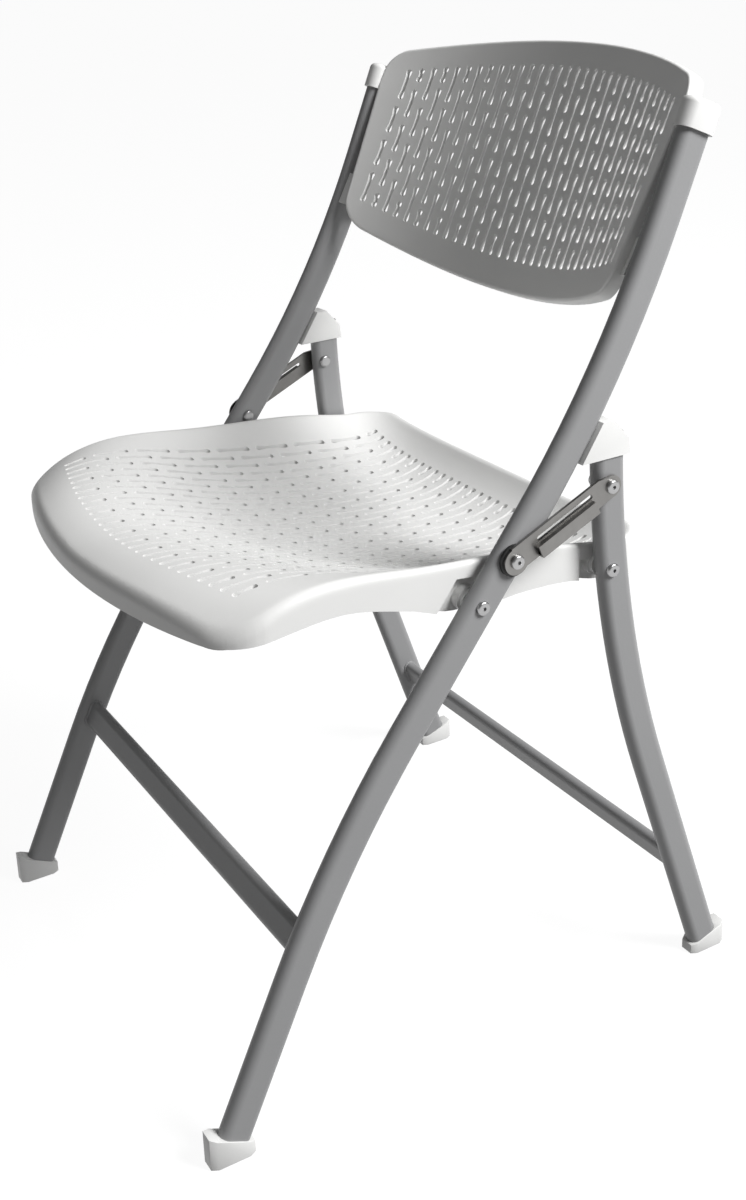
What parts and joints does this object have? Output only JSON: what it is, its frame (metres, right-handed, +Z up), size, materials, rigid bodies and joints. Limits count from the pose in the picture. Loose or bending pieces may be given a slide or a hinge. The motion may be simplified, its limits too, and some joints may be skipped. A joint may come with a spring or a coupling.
{
  "type": "folding chair",
  "caption": "Folding chair with a dished plastic seat and curved backrest on flat-oval steel tube legs that fold on side links.",
  "frame": {"origin": "on the floor, under the middle of the whole chair", "axes": "+Z up, the sitter faces -Y, +X is the sitter's left"},
  "size_m": [0.486, 0.5647, 0.8309],
  "materials": {
    "seat_plastic": "satin, finely textured, warm white",
    "white_plastic": "satin white",
    "grey_paint": "satin grey powder coat",
    "nickel_steel": "nickel plated, pressed",
    "zinc_steel": "zinc plated",
    "black_plastic": "black"
  },
  "bodies": {
    "front_frame": {"left_front_tube": "grey_paint", "right_front_tube": "grey_paint", "front_stretcher": "grey_paint", "backrest": "seat_plastic", "backrest_screws": "zinc_steel", "left_front_foot": "white_plastic", "right_front_foot": "white_plastic", "seat_front_bolts": "zinc_steel", "seat_front_nuts": "zinc_steel", "link_front_bolts": "zinc_steel", "link_front_nuts": "zinc_steel", "link_spacers": "black_plastic"},
    "seat": {"seat": "seat_plastic", "seat_bushes": "white_plastic"},
    "rear_frame": {"left_rear_leg": "grey_paint", "right_rear_leg": "grey_paint", "rear_stretcher": "grey_paint", "left_leg_cap": "white_plastic", "right_leg_cap": "white_plastic", "left_rear_foot": "white_plastic", "right_rear_foot": "white_plastic", "seat_rear_bolts": "zinc_steel", "seat_rear_nuts": "zinc_steel", "link_rear_nuts": "zinc_steel"},
    "left_link": {"left_link": "nickel_steel", "left_link_rear_bolt": "zinc_steel"},
    "right_link": {"right_link": "nickel_steel", "right_link_rear_bolt": "zinc_steel"}
  },
  "joints": [
    {"name": "seat_fold", "type": "hinge", "parent": "front_frame", "child": "seat", "pos_m": [0, -0.0122, 0.428], "axis": [-1, 0, 0], "range_deg": [0, 105]},
    {"name": "rear_leg_fold", "type": "hinge", "parent": "seat", "child": "rear_frame", "pos_m": [0, 0.11912, 0.427], "axis": [1, 0, 0], "range_deg": [0, 58.91]},
    {"name": "left_link_fold", "type": "hinge", "parent": "front_frame", "child": "left_link", "pos_m": [0.23625, 0.01769, 0.462], "axis": [-1, 0, 0], "range_deg": [0, 120.43]},
    {"name": "right_link_fold", "type": "hinge", "parent": "front_frame", "child": "right_link", "pos_m": [-0.23625, 0.01769, 0.462], "axis": [-1, 0, 0], "range_deg": [0, 120.43]}
  ],
  "couplings": [
    {"joint": "rear_leg_fold", "follows": "seat_fold", "ratio": 0.56093},
    {"joint": "left_link_fold", "follows": "seat_fold", "ratio": 1.1468},
    {"joint": "right_link_fold", "follows": "seat_fold", "ratio": 1.1468}
  ]
}
